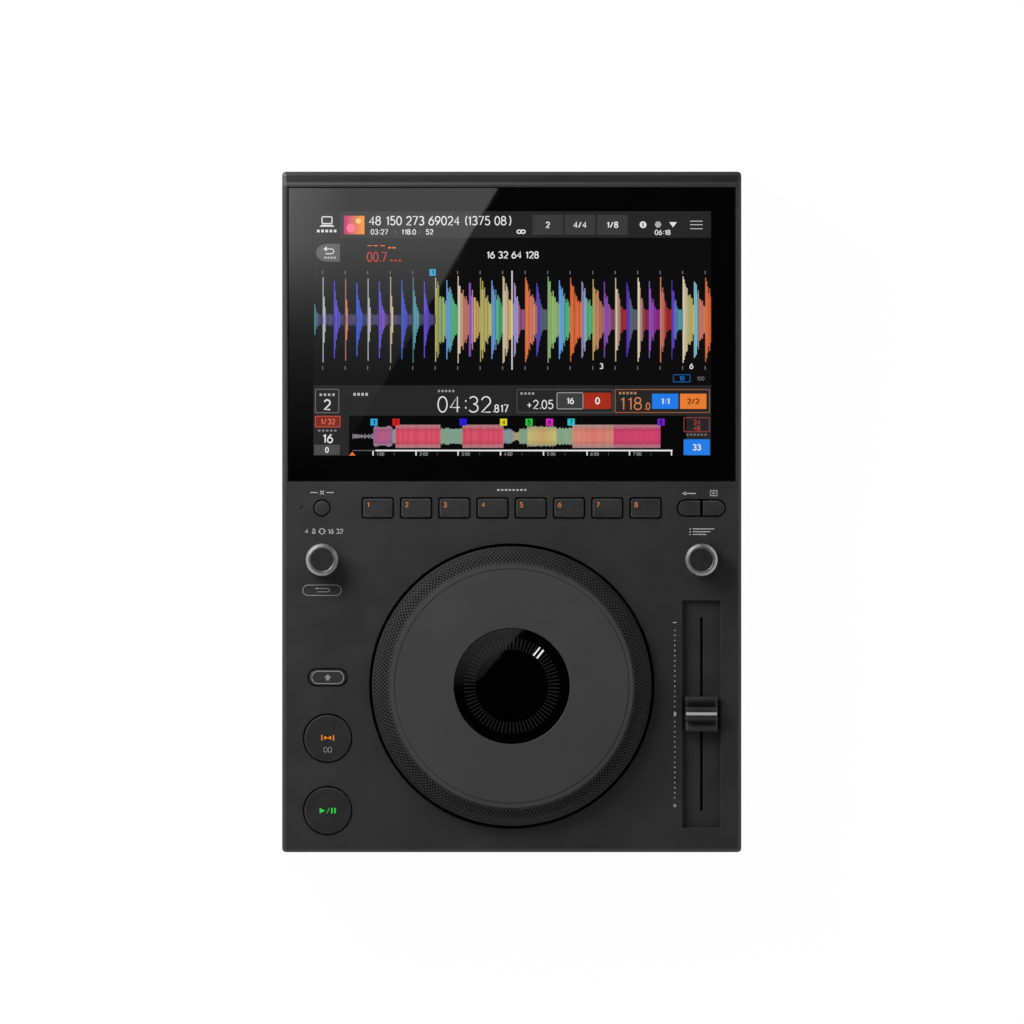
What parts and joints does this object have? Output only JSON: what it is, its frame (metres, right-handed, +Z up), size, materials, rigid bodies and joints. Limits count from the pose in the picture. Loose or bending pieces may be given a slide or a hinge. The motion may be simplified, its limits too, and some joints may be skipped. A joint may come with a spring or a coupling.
{
  "type": "tabletop media player",
  "caption": "Flat tabletop player with a tilted touch display, a large turning wheel, a row of pads, push buttons, push-turn knobs and a tempo fader.",
  "frame": {"origin": "under the centre of the body, on the surface that the feet stand on", "axes": "+X to the right, +Y to the rear where the display is, +Z up"},
  "size_m": [0.251, 0.372, 0.0906],
  "materials": {
    "case_plastic": "fine matte grain, near black grey",
    "tray_metal": "black powder coat on sheet metal",
    "display_glass": "glossy black glass",
    "module": "moulded and plated module housing",
    "plate_metal": "dark grey anodised, satin",
    "ring_plastic": "moulded ring with a fine raised dot texture",
    "cap_plastic": "matte moulded caps",
    "knob_plastic": "dark face with a bright metallic bevelled rim",
    "steel": "bright plated steel",
    "rubber": "soft matte rubber",
    "black_plastic": "black moulded plastic",
    "board": "green solder mask"
  },
  "bodies": {
    "chassis": {"bottom_tray": "tray_metal", "top_case": "case_plastic", "foot_front_left": "rubber", "foot_front_right": "rubber", "foot_rear_left": "rubber", "foot_rear_right": "rubber", "touch_glass": "display_glass", "display_panel": "module", "jog_base": "black_plastic", "jog_bearing": "steel", "jog_sensor": "black_plastic", "jog_screen": "module", "jog_lens": "display_glass", "status_indicator": "display_glass", "loop_encoder": "black_plastic", "browse_encoder": "black_plastic", "fader_plate": "case_plastic", "fader_track": "black_plastic", "control_board": "board", "transport_board": "board", "pad_sheet": "rubber", "main_board": "board", "power_supply": "module", "rear_tub": "tray_metal", "power_inlet": "black_plastic", "digital_out": "black_plastic", "audio_out_right": "black_plastic", "audio_out_left": "black_plastic", "network_port": "steel", "host_port": "steel", "device_port": "steel", "power_switch": "black_plastic"},
    "wheel": {"jog_ring": "ring_plastic", "jog_plate": "plate_metal", "jog_code_disc": "steel"},
    "pad_1": {"pad_1": "cap_plastic"},
    "pad_2": {"pad_2": "cap_plastic"},
    "pad_3": {"pad_3": "cap_plastic"},
    "pad_4": {"pad_4": "cap_plastic"},
    "pad_5": {"pad_5": "cap_plastic"},
    "pad_6": {"pad_6": "cap_plastic"},
    "pad_7": {"pad_7": "cap_plastic"},
    "pad_8": {"pad_8": "cap_plastic"},
    "delete_button": {"delete_button": "cap_plastic"},
    "back_button": {"back_button": "cap_plastic"},
    "tag_button": {"tag_button": "cap_plastic"},
    "shift_button": {"shift_button": "cap_plastic"},
    "cue_button": {"cue_button": "cap_plastic"},
    "play_button": {"play_button": "cap_plastic"},
    "loop_plunger": {"loop_plunger": "steel"},
    "loop_knob": {"loop_shaft": "steel", "loop_knob": "knob_plastic"},
    "browse_plunger": {"browse_plunger": "steel"},
    "browse_knob": {"browse_shaft": "steel", "browse_knob": "knob_plastic"},
    "tempo_slider": {"fader_lever": "steel", "fader_cap": "cap_plastic"},
    "power_button": {"power_button": "cap_plastic"}
  },
  "joints": [
    {"name": "wheel_spin", "type": "hinge", "parent": "chassis", "child": "wheel", "pos_m": [0, -0.0952, 0.062], "axis": [0, 0, 1], "continuous": true},
    {"name": "pad_1_press", "type": "slide", "parent": "chassis", "child": "pad_1", "axis": [0, 0, -1], "range_m": [0, 0.001], "stiffness_N_per_m": 600, "springref_m": -0.001},
    {"name": "pad_2_press", "type": "slide", "parent": "chassis", "child": "pad_2", "axis": [0, 0, -1], "range_m": [0, 0.001], "stiffness_N_per_m": 600, "springref_m": -0.001},
    {"name": "pad_3_press", "type": "slide", "parent": "chassis", "child": "pad_3", "axis": [0, 0, -1], "range_m": [0, 0.001], "stiffness_N_per_m": 600, "springref_m": -0.001},
    {"name": "pad_4_press", "type": "slide", "parent": "chassis", "child": "pad_4", "axis": [0, 0, -1], "range_m": [0, 0.001], "stiffness_N_per_m": 600, "springref_m": -0.001},
    {"name": "pad_5_press", "type": "slide", "parent": "chassis", "child": "pad_5", "axis": [0, 0, -1], "range_m": [0, 0.001], "stiffness_N_per_m": 600, "springref_m": -0.001},
    {"name": "pad_6_press", "type": "slide", "parent": "chassis", "child": "pad_6", "axis": [0, 0, -1], "range_m": [0, 0.001], "stiffness_N_per_m": 600, "springref_m": -0.001},
    {"name": "pad_7_press", "type": "slide", "parent": "chassis", "child": "pad_7", "axis": [0, 0, -1], "range_m": [0, 0.001], "stiffness_N_per_m": 600, "springref_m": -0.001},
    {"name": "pad_8_press", "type": "slide", "parent": "chassis", "child": "pad_8", "axis": [0, 0, -1], "range_m": [0, 0.001], "stiffness_N_per_m": 600, "springref_m": -0.001},
    {"name": "delete_press", "type": "slide", "parent": "chassis", "child": "delete_button", "axis": [0, 0, -1], "range_m": [0, 0.0006], "stiffness_N_per_m": 600, "springref_m": -0.001},
    {"name": "back_press", "type": "slide", "parent": "chassis", "child": "back_button", "axis": [0, 0, -1], "range_m": [0, 0.0006], "stiffness_N_per_m": 600, "springref_m": -0.001},
    {"name": "tag_press", "type": "slide", "parent": "chassis", "child": "tag_button", "axis": [0, 0, -1], "range_m": [0, 0.0006], "stiffness_N_per_m": 600, "springref_m": -0.001},
    {"name": "shift_press", "type": "slide", "parent": "chassis", "child": "shift_button", "axis": [0, 0, -1], "range_m": [0, 0.0006], "stiffness_N_per_m": 600, "springref_m": -0.001},
    {"name": "cue_press", "type": "slide", "parent": "chassis", "child": "cue_button", "axis": [0, 0, -1], "range_m": [0, 0.0006], "stiffness_N_per_m": 600, "springref_m": -0.001},
    {"name": "play_press", "type": "slide", "parent": "chassis", "child": "play_button", "axis": [0, 0, -1], "range_m": [0, 0.0006], "stiffness_N_per_m": 600, "springref_m": -0.001},
    {"name": "loop_push", "type": "slide", "parent": "chassis", "child": "loop_plunger", "axis": [0, 0, -1], "range_m": [0, 0.0005], "stiffness_N_per_m": 800, "springref_m": -0.001},
    {"name": "loop_turn", "type": "hinge", "parent": "loop_plunger", "child": "loop_knob", "pos_m": [-0.1037, -0.0262, 0.07], "axis": [0, 0, 1], "continuous": true},
    {"name": "browse_push", "type": "slide", "parent": "chassis", "child": "browse_plunger", "axis": [0, 0, -1], "range_m": [0, 0.0005], "stiffness_N_per_m": 800, "springref_m": -0.001},
    {"name": "browse_turn", "type": "hinge", "parent": "browse_plunger", "child": "browse_knob", "pos_m": [0.1037, -0.0262, 0.07], "axis": [0, 0, 1], "continuous": true},
    {"name": "tempo_slide", "type": "slide", "parent": "chassis", "child": "tempo_slider", "axis": [0, -1, 0], "range_m": [-0.05, 0.05]},
    {"name": "power_press", "type": "slide", "parent": "chassis", "child": "power_button", "axis": [0, -1, 0], "range_m": [0, 0.0015], "stiffness_N_per_m": 600, "springref_m": -0.001}
  ]
}
